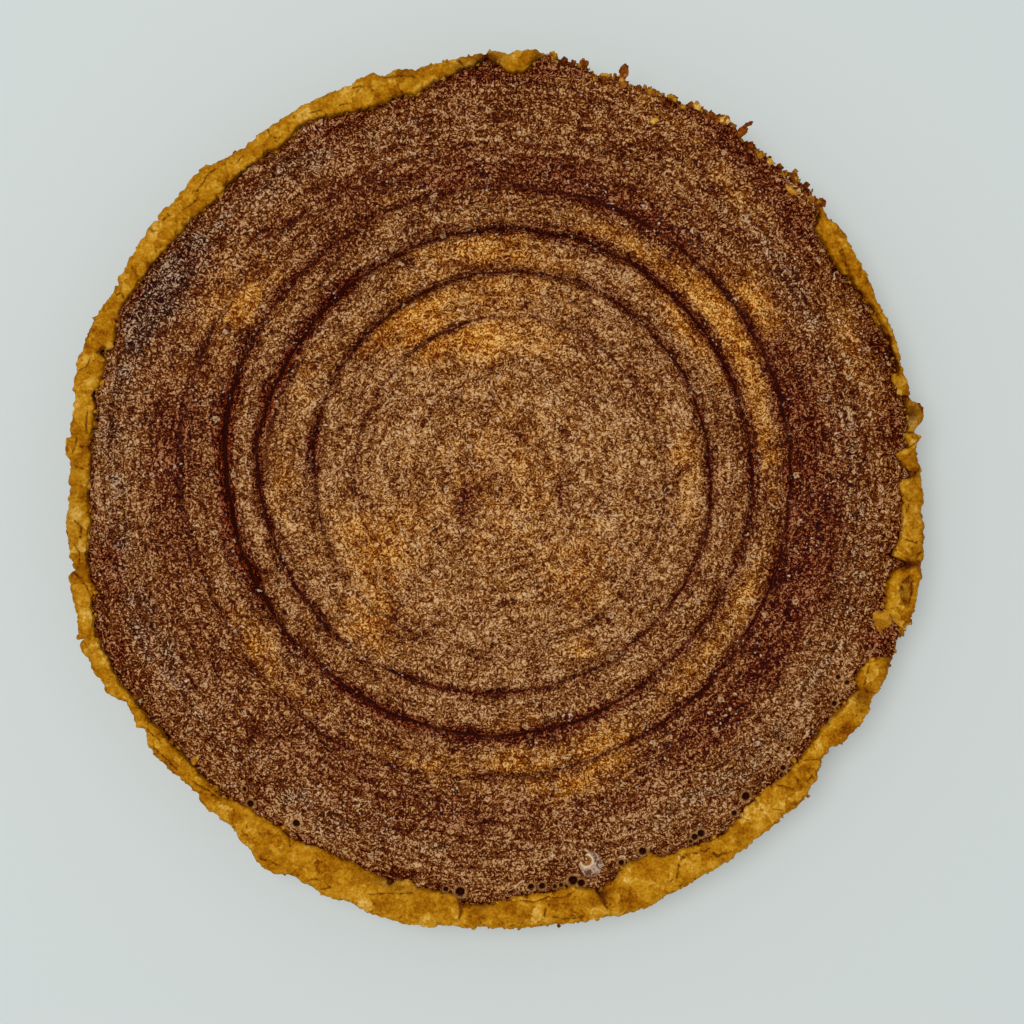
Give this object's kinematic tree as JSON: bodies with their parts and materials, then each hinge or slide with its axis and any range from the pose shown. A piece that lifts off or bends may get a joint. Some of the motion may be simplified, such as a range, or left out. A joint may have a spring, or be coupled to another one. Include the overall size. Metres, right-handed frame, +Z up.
{
  "type": "custard tart",
  "caption": "Whole round custard tart in a shortcrust pastry case, with an uneven baked rim and a browned custard top creased by a shallow spiral.",
  "frame": {"origin": "middle of the tart's outline, on the surface that its base rests on", "axes": "+Z up, from the flat base to the custard; +X towards the side where the custard runs dark over the rim; +Y towards the side next to the long sunk stretch of the rim"},
  "size_m": [0.2076, 0.2128, 0.0285],
  "materials": {
    "shortcrust": "dry, golden baked shortcrust",
    "custard": "browned custard skin with a faint sheen"
  },
  "bodies": {
    "root": {"pastry_case": "shortcrust", "custard_filling": "custard"}
  },
  "joints": []
}
